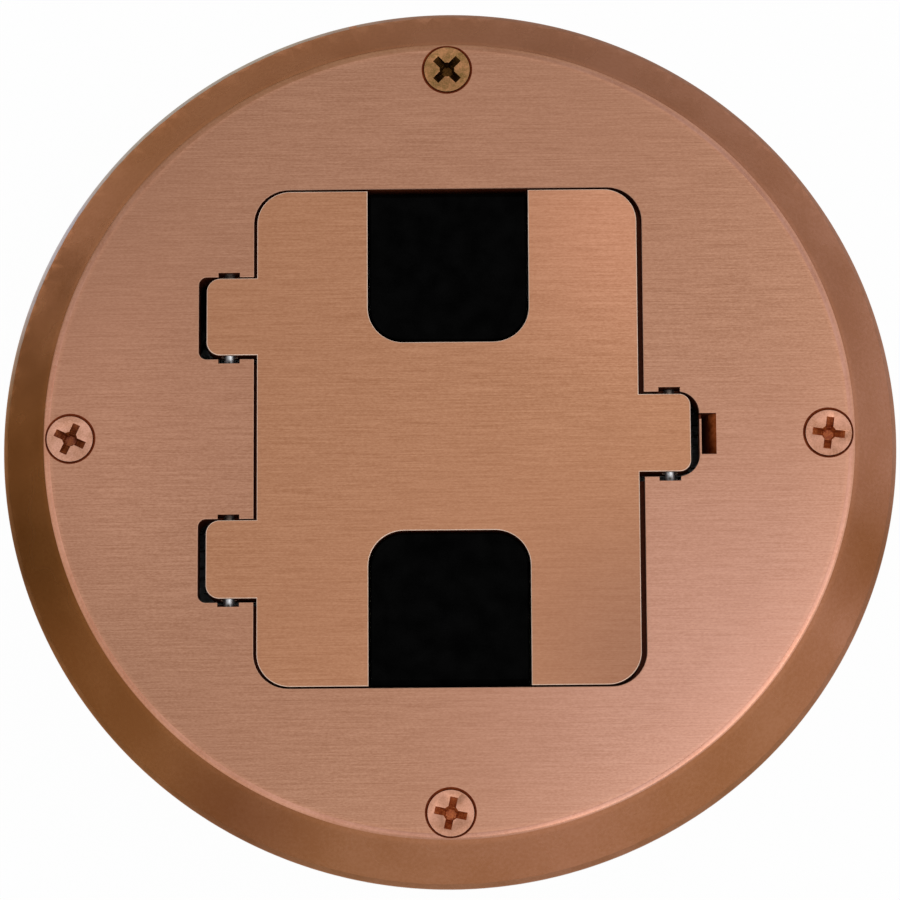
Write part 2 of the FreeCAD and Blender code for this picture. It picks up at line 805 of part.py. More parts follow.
def ground_contact():
    """The ground strip: a sprung tube under each ground hole, on a bar that lies on the yoke."""
    bar_bottom = body_bottom
    bar_top = bar_bottom + contact_thickness
    ys = [y - ground_offset for y in outlet_centres()]
    tube_radius = ground_hole_radius + contact_thickness
    top = yoke_bottom - seat_clearance
    bar = block(-tube_radius, tube_radius, min(ys) - tube_radius, max(ys) + tube_radius, bar_bottom, bar_top)
    tubes = [disc(tube_radius, bar_bottom, top, 0, y) for y in ys]
    bores = [disc(ground_hole_radius, bar_top, top, 0, y) for y in ys]
    bores.append(disc(rivet_radius + running_clearance, bar_bottom, bar_top))
    return bar.fuse(tubes).cut(bores)


def receptacle_base():
    half_x = body_width / 2
    half_y = body_length / 2
    base = rounded_block(-half_x, half_x, -half_y, half_y, body_bottom, yoke_bottom, body_corner)
    room = contact_room()
    tube_radius = ground_hole_radius + contact_thickness + fit_clearance
    ys = [y - ground_offset for y in outlet_centres()]
    cuts = [room, mirrored_x(room), disc(rivet_radius + running_clearance, body_bottom, yoke_bottom)]
    cuts += [disc(tube_radius, body_bottom, yoke_bottom, 0, y) for y in ys]
    cuts.append(block(-tube_radius, tube_radius, min(ys) - tube_radius, max(ys) + tube_radius,
                      body_bottom, body_bottom + contact_thickness + fit_clearance))
    return base.cut(cuts)


def receptacle_yoke():
    """A bent steel strap: an ear at each end, legs down the base's ends and a bar behind it."""
    half_x = yoke_width / 2
    inner_y = yoke_leg_y
    outer_y = ground_screw_seat_y
    bar = block(-half_x, half_x, -outer_y, outer_y, yoke_back, body_bottom)
    leg = block(-half_x, half_x, inner_y, outer_y, yoke_back, yoke_top)
    root_y = inner_y - 2 * yoke_ear_corner
    ear = rounded_block(-half_x, half_x, root_y, yoke_end_y, yoke_bottom, yoke_top, yoke_ear_corner)
    ear = ear.cut(block(-half_x, half_x, root_y, inner_y, yoke_bottom, yoke_top))
    strap = bar.fuse([leg, mirrored_y(leg), ear, mirrored_y(ear)]).removeSplitter()
    hole = cover_screw_shank_radius + fit_clearance
    cuts = [disc(rivet_radius + running_clearance, yoke_back, body_bottom)]
    cuts += [disc(hole, yoke_bottom, yoke_top, 0, side * yoke_screw_y) for side in (1, -1)]
    return strap.cut(cuts)


def receptacle_rivet():
    """The hollow brass rivet that ties the strap, base and face, tapped for the plate's screw."""
    top = yoke_bottom + face_flange
    head = disc(rivet_radius + rivet_head_lip, yoke_back - rivet_head_height, yoke_back)
    stem = disc(rivet_radius, yoke_back, top)
    thread = disc(cover_screw_shank_radius + screw_clearance, top - rivet_thread_depth, top)
    return head.fuse(stem).cut(thread)


def device_plate():
    """A dished round plate that covers the box's wiring and frames both outlets."""
    radius = box_inner_radius - plate_side_gap
    plate = disc(radius, yoke_top, plate_top)
    plate = plate.makeChamfer(plate_edge_chamfer, edges_at(plate, plate_top))
    hollow = disc(radius - plate_skin, yoke_top, plate_top - plate_skin)
    cuts = [hollow]
    cuts += [outlet_outline(y, yoke_top, plate_top, plate_outlet_gap) for y in outlet_centres()]
    hole = cover_screw_shank_radius + fit_clearance
    cuts.append(disc(hole, yoke_top, plate_top))
    return plate.cut(cuts)


def terminal_screws():
    """The two binding screws on the line side."""
    z = yoke_bottom - seat_clearance - contact_height / 2
    seat = body_width / 2 + seat_clearance
    screws = []
    for y in (terminal_spacing / 2, -terminal_spacing / 2):
        head = rod_x(pan_head_radius, seat, seat + pan_head_height, y, z)
        shank = rod_x(cover_screw_shank_radius, seat - terminal_screw_length, seat, y, z)
        top = seat + pan_head_height
        south = y - pan_head_radius
        north = y + pan_head_radius
        slot = block(top - slot_depth, top, south, north, z - slot_width / 2, z + slot_width / 2)
        screws.append(head.fuse(shank).cut(slot))
    return screws


def ground_terminal_screw():
    """The green screw in the yoke's leg."""
    z = yoke_bottom - contact_height / 2
    top = -ground_screw_seat_y - pan_head_height
    return rod_y(pan_head_radius, top, -ground_screw_seat_y, yoke_width / 4, z)


def main():
    os.makedirs("parts", exist_ok=True)
    save("cover_plate", cover_plate())
    save("lid", lid())
    save_bars()
    door = cord_door()
    save("cord_door_north", door)
    save("cord_door_south", mirrored_y(door))
    save("door_pin_north", door_pin())
    save("door_pin_south", mirrored_y(door_pin()))
    save("door_spring_north", door_spring())
    save("door_spring_south", mirrored_y(door_spring()))
    east, north, west, south = on_circle(screw_radius, 0)
    turns = ((east, east_screw_turn), (west, west_screw_turn), (south, south_screw_turn))
    save("cover_screws", *[flat_head_screw(x, y, turn) for (x, y), turn in turns])
    save("cover_screw_brass", flat_head_screw(*north, north_screw_turn))
    save("cover_gasket", cover_gasket())
    save("box_body", box_body())
    ground_screw = pan_head_screw(
        0, ground_boss_offset, ground_boss_top, ground_screw_length, ground_screw_turn)
    save("box_ground_screw", ground_screw)
    save("device_plate", device_plate())
    save("device_plate_screw", pan_head_screw(0, 0, plate_top, plate_screw_length, plate_screw_turn))
    save("receptacle_face", receptacle_face())
    save("receptacle_base", receptacle_base())
    save("receptacle_yoke", receptacle_yoke())
    save("receptacle_rivet", receptacle_rivet())
    contact = side_contact()
    save("line_contact", contact)
    save("neutral_contact", mirrored_x(contact))
    save("ground_contact", ground_contact())
    screws = terminal_screws()
    save("line_terminal_screws", *screws)
    save("neutral_terminal_screws", *[mirrored_x(screw) for screw in screws])
    save("ground_terminal_screw", ground_terminal_screw())
    yoke_screw = pan_head_screw(0, yoke_screw_y, yoke_top, yoke_screw_length, yoke_screw_turn)
    save("yoke_screws", yoke_screw, turned(yoke_screw, 180))


main()
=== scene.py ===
import math

import bmesh
import bpy
from mathutils import Matrix, Vector


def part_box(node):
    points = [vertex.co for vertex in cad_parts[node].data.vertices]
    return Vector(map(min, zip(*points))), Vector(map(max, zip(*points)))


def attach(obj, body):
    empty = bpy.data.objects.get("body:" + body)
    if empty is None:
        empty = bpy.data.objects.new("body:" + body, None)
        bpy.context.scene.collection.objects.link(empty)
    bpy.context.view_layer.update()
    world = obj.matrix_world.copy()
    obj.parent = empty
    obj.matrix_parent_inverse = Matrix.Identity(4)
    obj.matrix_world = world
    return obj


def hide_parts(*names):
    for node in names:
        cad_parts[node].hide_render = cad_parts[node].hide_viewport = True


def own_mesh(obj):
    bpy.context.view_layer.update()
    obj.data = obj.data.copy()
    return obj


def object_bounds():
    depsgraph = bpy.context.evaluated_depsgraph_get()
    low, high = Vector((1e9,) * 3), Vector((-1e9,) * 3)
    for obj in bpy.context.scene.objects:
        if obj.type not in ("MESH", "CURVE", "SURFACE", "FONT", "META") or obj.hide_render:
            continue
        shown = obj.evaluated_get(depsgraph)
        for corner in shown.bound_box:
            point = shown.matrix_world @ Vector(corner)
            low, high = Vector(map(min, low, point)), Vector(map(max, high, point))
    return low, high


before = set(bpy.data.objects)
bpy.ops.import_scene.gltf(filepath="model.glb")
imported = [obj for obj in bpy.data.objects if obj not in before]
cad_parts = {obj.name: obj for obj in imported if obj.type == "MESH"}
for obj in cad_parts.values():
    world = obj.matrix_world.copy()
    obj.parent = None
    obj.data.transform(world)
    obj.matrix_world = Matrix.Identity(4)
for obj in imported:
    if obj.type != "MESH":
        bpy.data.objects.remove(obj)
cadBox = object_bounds()
mm = 0.001
fullTurn = 2 * math.pi


# Node and colour helpers

def hexColour(code):
    # sRGB hex to the linear colour that a node takes
    parts = [int(code[n:n + 2], 16) / 255 for n in (0, 2, 4)]
    linear = [c / 12.92 if c <= 0.04045 else ((c + 0.055) / 1.055) ** 2.4 for c in parts]
    return (*linear, 1.0)


def addNode(tree, kind, settings=None, inputs=None):
    node = tree.nodes.new("ShaderNode" + kind)
    for name, value in (settings or {}).items():
        setattr(node, name, value)
    for name, value in (inputs or {}).items():
        if isinstance(value, bpy.types.NodeSocket):
            tree.links.new(value, node.inputs[name])
        else:
            node.inputs[name].default_value = value
    return node


def newMaterial(name):
    material = bpy.data.materials.new(name)
    material.use_nodes = True
    tree = material.node_tree
    tree.nodes.clear()
    output = addNode(tree, "OutputMaterial")
    shader = addNode(tree, "BsdfPrincipled")
    tree.links.new(shader.outputs[0], output.inputs["Surface"])
    return material, tree, shader


def setShader(tree, shader, values):
    for name, value in values.items():
        if isinstance(value, bpy.types.NodeSocket):
            tree.links.new(value, shader.inputs[name])
        else:
            shader.inputs[name].default_value = value


def calculated(tree, operation, *values, clamp=False):
    settings = {"operation": operation, "use_clamp": clamp}
    return addNode(tree, "Math", settings, dict(enumerate(values))).outputs[0]


def ranged(tree, value, low, high, toLow=0.0, toHigh=1.0):
    return addNode(tree, "MapRange", inputs={
        "Value": value, "From Min": low, "From Max": high,
        "To Min": toLow, "To Max": toHigh}).outputs[0]


def mixedColour(tree, factor, first, second, blend="MIX"):
    # a colour Mix node takes its colours at sockets 6 and 7, and gives one at socket 2
    settings = {"data_type": "RGBA", "blend_type": blend}
    return addNode(tree, "Mix", settings, {0: factor, 6: first, 7: second}).outputs[2]


noChange = (1.0, 1.0, 1.0)


def paintedLightColour(tree, place, colour, lightSpot):
    # patches of painted light and shade: near and far multiply the colour round one spot
    spot = addNode(tree, "VectorMath", {"operation": "DISTANCE"}, {
        0: place, 1: tuple(n * mm for n in lightSpot["spot"])})
    away = addNode(tree, "MapRange", {"interpolation_type": "SMOOTHSTEP"}, {
        "Value": spot.outputs["Value"], "From Min": lightSpot.get("start", 0.0) * mm,
        "From Max": lightSpot["reach"] * mm})
    near = (*lightSpot.get("near", noChange), 1.0)
    far = (*lightSpot.get("far", noChange), 1.0)
    patch = mixedColour(tree, away.outputs[0], near, far)
    return mixedColour(tree, 1.0, colour, patch, "MULTIPLY")


# How far a finish's noise is spread between its two tones, and how far it swings the roughness
brushedSpread = {"detail": 2.0, "fade": 0.6, "grain": (0.7, 1.3), "cloud": (0.35, 0.65),
                 "scratch": (0.3, 0.7), "swing": 0.04, "relief": 0.02}
grainySpread = {"fineDetail": 3.0, "broadDetail": 2.0, "fade": 0.6, "share": 0.5,
                "grain": (0.38, 0.62), "cloud": (0.35, 0.65), "swing": 0.05, "specular": 0.5}


def brushedMetal(name, look):
    # long thin scratches along X over a short grain, as a belt leaves them,
    # which smear reflections across the grain
    spread = brushedSpread
    material, tree, shader = newMaterial(name)
    place = addNode(tree, "TexCoord").outputs["Object"]
    streaks = []
    for length, width in look["streaks"]:
        scale = (1 / (length * mm), 1 / (width * mm), 1 / (width * mm))
        stretched = addNode(tree, "Mapping", inputs={"Vector": place, "Scale": scale})
        noise = addNode(tree, "TexNoise", inputs={
            "Vector": stretched.outputs[0], "Scale": 1.0, "Detail": spread["detail"],
            "Roughness": spread["fade"]})
        streaks.append(noise.outputs["Fac"])
    both = calculated(tree, "ADD", *streaks)
    cloud = addNode(tree, "TexNoise", inputs={
        "Vector": place, "Scale": 1 / (look["cloud"] * mm), "Detail": spread["detail"]})
    patch = ranged(tree, cloud.outputs["Fac"], *spread["cloud"])
    streaked = mixedColour(tree, ranged(tree, both, *spread["grain"]),
                           hexColour(look["dark"]), hexColour(look["light"]))
    toned = mixedColour(tree, calculated(tree, "MULTIPLY", patch, look["ageing"]),
                        streaked, hexColour(look["aged"]))
    # painted highlights, shade and reflections, one spot after another
    for lightSpot in look.get("paintedLight", []):
        toned = paintedLightColour(tree, place, toned, lightSpot)
    rough = ranged(tree, streaks[1], *spread["scratch"], look["roughness"] - spread["swing"],
                   look["roughness"] + spread["swing"])
    bump = addNode(tree, "Bump", inputs={
        "Strength": look["bump"], "Distance": spread["relief"] * mm, "Height": both})
    across = addNode(tree, "VectorTransform", {
        "vector_type": "VECTOR", "convert_from": "OBJECT", "convert_to": "WORLD"},
        {0: (0.0, 1.0, 0.0)})
    setShader(tree, shader, {
        "Metallic": 1.0, "Base Color": toned, "Roughness": rough,
        "Anisotropic": look["anisotropy"], "Normal": bump.outputs[0], "Tangent": across.outputs[0]})
    return material


def grainyFinish(name, look):
    # cast, moulded, plated or turned surfaces: a fine grain over a broad unevenness
    spread = grainySpread
    material, tree, shader = newMaterial(name)
    place = addNode(tree, "TexCoord").outputs["Object"]
    fine = addNode(tree, "TexNoise", inputs={
        "Vector": place, "Scale": 1 / (look["grain"] * mm), "Detail": spread["fineDetail"],
        "Roughness": spread["fade"]}).outputs["Fac"]
    broad = addNode(tree, "TexNoise", inputs={
        "Vector": place, "Scale": 1 / (look["cloud"] * mm),
        "Detail": spread["broadDetail"]}).outputs["Fac"]
    blend = calculated(tree, "MULTIPLY_ADD", fine, spread["share"],
                       calculated(tree, "MULTIPLY", broad, spread["share"]))
    toned = mixedColour(tree, ranged(tree, blend, *spread["grain"]),
                        hexColour(look["dark"]), hexColour(look["light"]))
    for lightSpot in look.get("paintedLight", []):
        toned = paintedLightColour(tree, place, toned, lightSpot)
    rough = ranged(tree, broad, *spread["cloud"], look["roughness"] - spread["swing"],
                   look["roughness"] + spread["swing"])
    bump = addNode(tree, "Bump", inputs={
        "Strength": look["bump"], "Distance": look["relief"] * mm, "Height": fine})
    setShader(tree, shader, {
        "Base Color": toned, "Roughness": rough,
        "Metallic": look.get("metallic", 0.0), "Normal": bump.outputs[0],
        "Specular IOR Level": look.get("specular", spread["specular"])})
    return material


# Copper-plated plate, belt-brushed along X and lacquered: pinkish and streaky, with a painted
# highlight towards the lower right, painted light on the left, and a painted pale ring at the
# face's edge
plateFace = brushedMetal("copper_brushed_plate_painted_highlight", {
    "streaks": [(0.5, 0.2), (9.0, 0.22)], "cloud": 60.0,
    "dark": "9E6F56", "light": "B98A70", "aged": "AA7860", "ageing": 0.4,
    "paintedLight": [{"spot": (46.0, -42.0, 7.0), "reach": 62.0, "near": (1.2, 1.28, 1.5)},
              {"spot": (-60.0, 0.0, 7.0), "reach": 42.0, "near": (1.16, 1.15, 1.17)},
              {"spot": (0.0, 0.0, 7.0), "start": 58.6, "reach": 59.1, "far": (1.09, 1.08, 1.08)}],
    "roughness": 0.34, "anisotropy": 0.6, "bump": 0.25})
# The lid has the same brushing on a slightly yellower blank, with a painted highlight at its upper
# right and painted shade at its lower right
lidFace = brushedMetal("copper_brushed_lid_painted_light", {
    "streaks": [(0.5, 0.2), (9.0, 0.22)], "cloud": 60.0,
    "dark": "A26F50", "light": "BA8868", "aged": "AC785A", "ageing": 0.4,
    "paintedLight": [{"spot": (29.0, 33.0, 7.0), "reach": 34.0, "near": (1.3, 1.28, 1.4),
               "far": (1.02, 1.02, 1.04)},
              {"spot": (32.0, -34.0, 7.0), "reach": 34.0, "near": (0.76, 0.76, 0.82)}],
    "roughness": 0.34, "anisotropy": 0.6, "bump": 0.2})
# Painted reflections: what the turned bevel mirrors, painted into its colour as darker and paler
# patches, and a painted highlight band along its top
bevelPaintedReflections = [
    {"spot": (66.0, 0.0, 3.0), "reach": 133.0, "near": (0.97, 1.04, 1.38),
     "far": (0.85, 0.74, 0.42)},
    {"spot": (-15.0, -62.0, 3.0), "reach": 75.0, "near": (1.06, 1.22, 1.8)},
    {"spot": (18.0, 62.0, 3.0), "reach": 75.0, "near": (0.78, 0.76, 0.82)},
    {"spot": (-60.0, 26.0, 3.0), "reach": 26.0, "near": (1.32, 1.45, 2.2)},
    {"spot": (-62.0, -17.0, 3.0), "reach": 18.0, "near": (0.62, 0.6, 0.48)},
    {"spot": (-32.0, -56.0, 3.0), "reach": 17.0, "near": (0.76, 0.7, 0.73)},
    {"spot": (62.0, -17.0, 3.0), "reach": 15.0, "near": (0.68, 0.58, 0.4)},
    {"spot": (42.0, -50.0, 3.0), "reach": 34.0, "near": (0.88, 0.88, 0.76)},
    {"spot": (-47.0, 47.0, 3.0), "reach": 36.0, "near": (1.0, 1.06, 1.36)},
    {"spot": (0.0, 0.0, 6.0), "start": 60.5, "reach": 61.0, "near": (1.1, 1.1, 1.1)}]
# Turned bevel, copper-plated: smoother and more orange than the brushed face, with the painted
# reflections above
plateBevel = grainyFinish("copper_turned_bevel_painted_reflection", {
    "grain": 0.5, "cloud": 12.0, "dark": "AE7048", "light": "B97C56",
    "paintedLight": bevelPaintedReflections,
    "roughness": 0.26, "bump": 0.05, "relief": 0.02, "metallic": 1.0})
# The pry slot's ramp, where the cutter left the plating bright orange, fading into painted shade
# towards its west end
pryRampShaded = grainyFinish("copper_milled_ramp_painted_shade", {
    "grain": 0.5, "cloud": 1.5, "dark": "9A5426", "light": "CC7C46",
    "paintedLight": [{"spot": (60.0, 3.0, 6.0), "start": 19.9, "reach": 22.0,
               "near": (0.96, 0.72, 0.68), "far": (0.17, 0.1, 0.08)}],
    "roughness": 0.4, "bump": 0.2, "relief": 0.03, "metallic": 1.0})
# The rim's foot, with the bevel's painted reflections, and paler towards the upper left
rimEdge = grainyFinish("copper_rim_foot_painted_reflection", {
    "grain": 0.4, "cloud": 5.0, "dark": "9E6844", "light": "AA7452",
    "paintedLight": bevelPaintedReflections + [{"spot": (-47.0, 47.0, 1.0), "start": 22.0, "reach": 52.0,
                            "near": (1.35, 2.9, 7.0)}],
    "roughness": 0.35, "bump": 0.1, "relief": 0.02, "metallic": 1.0})
# The shoulder between face and bevel, pinkish, painted lighter and darker round the plate as
# painted highlights and painted shade, and paler at its outer edge as a painted highlight
plateShoulder = grainyFinish("copper_shoulder_painted_light", {
    "grain": 0.4, "cloud": 9.0, "dark": "A67660", "light": "B48672",
    "paintedLight": [{"spot": (-55.0, -25.0, 6.6), "reach": 75.0, "near": (1.36, 1.26, 1.18),
               "far": (1.08, 1.06, 1.1)},
              {"spot": (-20.0, 58.0, 6.6), "reach": 70.0, "near": (0.84, 0.81, 0.62)},
              {"spot": (0.0, -60.0, 6.6), "reach": 25.0, "near": (0.7, 0.68, 0.66)},
              {"spot": (-60.0, 0.0, 6.6), "reach": 30.0, "near": (1.25, 1.27, 1.3)},
              {"spot": (29.6, -51.3, 6.6), "reach": 18.0, "near": (0.78, 0.82, 0.86)},
              {"spot": (0.0, 0.0, 6.6), "start": 59.6, "reach": 60.1, "far": (1.38, 1.36, 1.26)}],
    "roughness": 0.3, "bump": 0.05, "relief": 0.02, "metallic": 1.0})
# Cut walls and undersides, plated but not brushed: duller and browner, and darker still as painted
# shade for the deep narrow gaps
copperWallsShaded = grainyFinish("copper_plated_walls_painted_shade", {
    "grain": 0.4, "cloud": 6.0, "dark": "502210", "light": "6A321C",
    "roughness": 0.5, "bump": 0.15, "relief": 0.03, "metallic": 0.5, "specular": 0.2})
# Edges broken on the belt: thin and dull, painted pale as a highlight
lidEdgeHighlight = grainyFinish("copper_broken_edge_painted_highlight", {
    "grain": 0.4, "cloud": 8.0, "dark": "ECC8B0", "light": "FFE2CE",
    "roughness": 0.6, "bump": 0.05, "relief": 0.02, "metallic": 0.4})
# The opening's edges in the cover are broken less than the lid's, painted pale as a highlight, and
# darker towards the north as painted shade
openingEdgeHighlight = grainyFinish("copper_eased_edge_painted_highlight", {
    "grain": 0.4, "cloud": 8.0, "dark": "C4947A", "light": "D6A78D",
    "paintedLight": [{"spot": (0.0, 60.0, 7.0), "start": 20.0, "reach": 46.0,
               "near": (0.62, 0.58, 0.56)}],
    "roughness": 0.6, "bump": 0.05, "relief": 0.02, "metallic": 0.5})
# Copper-plated machine screws: small turned heads, tarnished in the recess; the west head is
# painted brighter as a highlight
copperScrew = grainyFinish("copper_plated_screw", {
    "grain": 0.25, "cloud": 2.5, "dark": "A8765C", "light": "C6917A",
    "paintedLight": [{"spot": (-56.25, 0.0, 7.0), "start": 5.0, "reach": 20.0,
               "near": (1.22, 1.27, 1.32)}],
    "roughness": 0.3, "bump": 0.1, "relief": 0.02, "metallic": 1.0})
# Dirt and lacquer darken the driver recess, and the west screw's recess is darker still as painted
# shade
screwRecessDirtAndShade = grainyFinish("copper_recess_tarnish_and_shade", {
    "grain": 0.25, "cloud": 1.0, "dark": "8E3A12", "light": "C4703C",
    "paintedLight": [{"spot": (-56.25, 0.0, 7.0), "start": 5.0, "reach": 20.0,
               "near": (0.6, 0.55, 0.45), "far": (0.95, 0.9, 0.8)}],
    "roughness": 0.45, "bump": 0.2, "relief": 0.03, "metallic": 0.5})
brassRecess = grainyFinish("brass_blackened_recess", {
    "grain": 0.25, "cloud": 1.0, "dark": "32200E", "light": "5E3E1C",
    "roughness": 0.5, "bump": 0.2, "relief": 0.03, "metallic": 1.0})
# Polish residue dried in the groove round each screw head
grooveDirt = grainyFinish("polish_residue", {
    "grain": 0.3, "cloud": 2.0, "dark": "5C200A", "light": "7E3614",
    "roughness": 0.8, "bump": 0.2, "relief": 0.03, "specular": 0.1})
# A plain brass screw in place of a plated one
brassScrew = grainyFinish("brass_screw", {
    "grain": 0.25, "cloud": 1.4, "dark": "7E6038", "light": "B68058",
    "roughness": 0.32, "bump": 0.15, "relief": 0.02, "metallic": 1.0})
# Moulded black nylon with a fine spark-eroded grain
blackNylon = grainyFinish("black_nylon", {
    "grain": 0.18, "cloud": 3.0, "dark": "000000", "light": "060606",
    "roughness": 0.6, "bump": 0.35, "relief": 0.03, "specular": 0.012})
# Spring-bar pins: polished stainless steel, rubbed dull where they turn. Painted shade browns the
# north noses, and darkens the very ends of the south ones
pinLook = {"bars": ("hinge_bar_north", "hinge_bar_south", "latch_bar"), "above": 0.8,
           "northOut": 0.6, "northReach": 1.8, "northShade": (0.36, 0.3, 0.25),
           "southOut": 1.05, "southReach": 0.75, "southShade": (0.06, 0.045, 0.035)}
pinShades = []
for bar in pinLook["bars"]:
    low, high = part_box(bar + "_tube")
    x = (low.x + high.x) / 2 / mm
    z = (low.z + high.z) / 2 / mm + pinLook["above"]
    pinShades += [
        {"spot": (x, high.y / mm + pinLook["northOut"], z), "reach": pinLook["northReach"],
         "near": pinLook["northShade"]},
        {"spot": (x, low.y / mm - pinLook["southOut"], z), "reach": pinLook["southReach"],
         "near": pinLook["southShade"]}]
brightPin = grainyFinish("stainless_pin", {
    "grain": 0.3, "cloud": 0.8, "dark": "A8A8AA", "light": "E0E0E2", "paintedLight": pinShades,
    "roughness": 0.45, "bump": 0.05, "relief": 0.01, "metallic": 1.0})
springSteel = grainyFinish("spring_steel_wire", {
    "grain": 0.2, "cloud": 2.0, "dark": "6E6E70", "light": "8C8D90",
    "roughness": 0.3, "bump": 0.1, "relief": 0.01, "metallic": 1.0})
gasketRubber = grainyFinish("closed_cell_rubber", {
    "grain": 0.3, "cloud": 10.0, "dark": "17181A", "light": "232527",
    "roughness": 0.75, "bump": 0.3, "relief": 0.05, "specular": 0.3})
# Die-cast aluminium out of the tumbler: pale dull grey, finely pebbled
castBox = grainyFinish("tumbled_aluminium_casting", {
    "grain": 0.7, "cloud": 34.0, "dark": "8A8C8E", "light": "9C9EA0",
    "roughness": 0.5, "bump": 0.45, "relief": 0.12, "metallic": 0.6})
zincSteel = grainyFinish("zinc_plated_steel", {
    "grain": 0.4, "cloud": 3.0, "dark": "A9ABA6", "light": "C9CBC4",
    "roughness": 0.34, "bump": 0.08, "relief": 0.02, "metallic": 1.0})
# Brushed stainless steel cover of the receptacle
plateSteel = brushedMetal("brushed_stainless", {
    "streaks": [(1.5, 0.13), (6.0, 0.3)], "cloud": 40.0,
    "dark": "A6A8AA", "light": "C6C8CA", "aged": "B4B6B8", "ageing": 0.3,
    "roughness": 0.3, "anisotropy": 0.5, "bump": 0.3})
ivoryNylon = grainyFinish("ivory_nylon", {
    "grain": 0.3, "cloud": 14.0, "dark": "DCD2B8", "light": "E8DFC8",
    "roughness": 0.42, "bump": 0.15, "relief": 0.02, "specular": 0.5})
blackPhenolic = grainyFinish("black_phenolic", {
    "grain": 0.5, "cloud": 8.0, "dark": "141312", "light": "211F1E",
    "roughness": 0.36, "bump": 0.12, "relief": 0.03, "specular": 0.5})
contactBrass = grainyFinish("sheet_brass", {
    "grain": 0.6, "cloud": 5.0, "dark": "B0914E", "light": "CDB06A",
    "roughness": 0.3, "bump": 0.08, "relief": 0.02, "metallic": 1.0})
greenSteel = grainyFinish("green_dyed_zinc", {
    "grain": 0.4, "cloud": 3.0, "dark": "2C6A42", "light": "418A58",
    "roughness": 0.35, "bump": 0.08, "relief": 0.02, "metallic": 1.0})
print("materials made")

# For copies of the CAD's meshes: the gap that is closed, the angle that counts as flat, and
# the angle that counts as an edge
copying = {"merge": 0.001, "flat": 0.4, "edge": 28}
weldGap = 0.0005


def asObject(shape, name, materials=()):
    mesh = bpy.data.meshes.new(name)
    shape.to_mesh(mesh)
    shape.free()
    for material in materials:
        mesh.materials.append(material)
    made = bpy.data.objects.new(name, mesh)
    bpy.context.scene.collection.objects.link(made)
    return made


def finishPiece(shape, name, body, materials, nodes, weighted=True):
    piece = asObject(shape, name, materials)
    if weighted:
        modifier = piece.modifiers.new("flat faces stay flat", "WEIGHTED_NORMAL")
        modifier.keep_sharp = True
    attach(piece, body)
    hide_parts(*nodes)
    return piece


def shadeByAngle(shape, degrees):
    limit = math.radians(degrees)
    for face in shape.faces:
        face.smooth = True
    for edge in shape.edges:
        edge.smooth = len(edge.link_faces) == 2 and edge.calc_face_angle() < limit


def copyOfNode(node):
    # the node's own mesh is left alone: its copy is merged and its flat faces joined
    shape = bmesh.new()
    shape.from_mesh(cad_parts[node].data)
    bmesh.ops.remove_doubles(shape, verts=shape.verts, dist=copying["merge"] * mm)
    bmesh.ops.dissolve_limit(shape, angle_limit=math.radians(copying["flat"]),
                             verts=shape.verts, edges=shape.edges)
    shadeByAngle(shape, copying["edge"])
    return shape


def paintFaces(shape, finishes, chosen):
    # chosen names the finish of a face, and the finishes' order is that of the material slots
    order = list(finishes)
    for face in shape.faces:
        face.material_index = order.index(chosen(face))


def breakEdges(piece, width):
    modifier = piece.modifiers.new("broken edges", "BEVEL")
    modifier.width = width * mm
    modifier.segments = 2
    modifier.limit_method = "ANGLE"
    modifier.angle_limit = math.radians(copying["edge"])
    modifier.harden_normals = True


def carryOver(node, body, material, edge):
    shape = copyOfNode(node)
    piece = finishPiece(shape, node + "_look", body, [material], [node], weighted=False)
    breakEdges(piece, edge)


def lathe(profile, steps):
    # profile: radius and height pairs, in millimetres
    shape = bmesh.new()
    points = [shape.verts.new((radius * mm, 0, height * mm)) for radius, height in profile]
    lines = [shape.edges.new(pair) for pair in zip(points, points[1:])]
    bmesh.ops.spin(
        shape, geom=points + lines, cent=(0, 0, 0), axis=(0, 0, 1), dvec=(0, 0, 0),
        angle=fullTurn, steps=steps, use_merge=True, use_duplicate=False)
    bmesh.ops.remove_doubles(shape, verts=shape.verts, dist=weldGap * mm)
    bmesh.ops.recalc_face_normals(shape, faces=shape.faces)
    return shape


def combined(shape, other, operation):
    # INTERSECT keeps what two closed shapes share, DIFFERENCE takes the other away
    first = asObject(shape, "first")
    second = asObject(other, "second")
    modifier = first.modifiers.new("combined", "BOOLEAN")
    modifier.operation = operation
    modifier.solver = "EXACT"
    modifier.object = second
    bpy.context.view_layer.update()
    evaluated = first.evaluated_get(bpy.context.evaluated_depsgraph_get())
    result = bmesh.new()
    result.from_mesh(evaluated.to_mesh())
    for solid in (first, second):
        mesh = solid.data
        bpy.data.objects.remove(solid)
        bpy.data.meshes.remove(mesh)
    return result


def placeAlongY(shape, side, place):
    # from standing on +Z to lying along +Y or -Y
    bmesh.ops.rotate(shape, verts=shape.verts, cent=(0, 0, 0),
                     matrix=Matrix.Rotation(-side * math.pi / 2, 3, "X"))
    bmesh.ops.translate(shape, verts=shape.verts, vec=place)


# Cover plate: buffing has rounded the brushed face down a little towards the turned bevel
coverLook = {
    "crownStart": 50.5, "crownEnd": 59.25, "crownDrop": 0.1, "crownSteps": 8, "over": 0.001,
    "shoulderRadius": 3.0, "shoulderLean": 12.0, "roundRadius": 0.8, "roundSteps": 6,
    "bevelSlope": 43.6, "bevelFoot": 0.62, "bandWidth": 0.7, "skin": 0.012,
    "footStart": 0.3, "footRadius": 0.35, "footSteps": 4, "steps": 360,
    "envelopeTop": 0.5, "envelopeFoot": -1,
    "headRadius": 3.435, "sinkRadius": 3.84, "sinkSlope": 41.0, "sinkOver": 0.5,
    "sinkTip": 0.05, "sinkSteps": 64}
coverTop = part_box("cover_plate")[1].z / mm
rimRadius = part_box("cover_plate")[1].x / mm - coverLook["skin"]


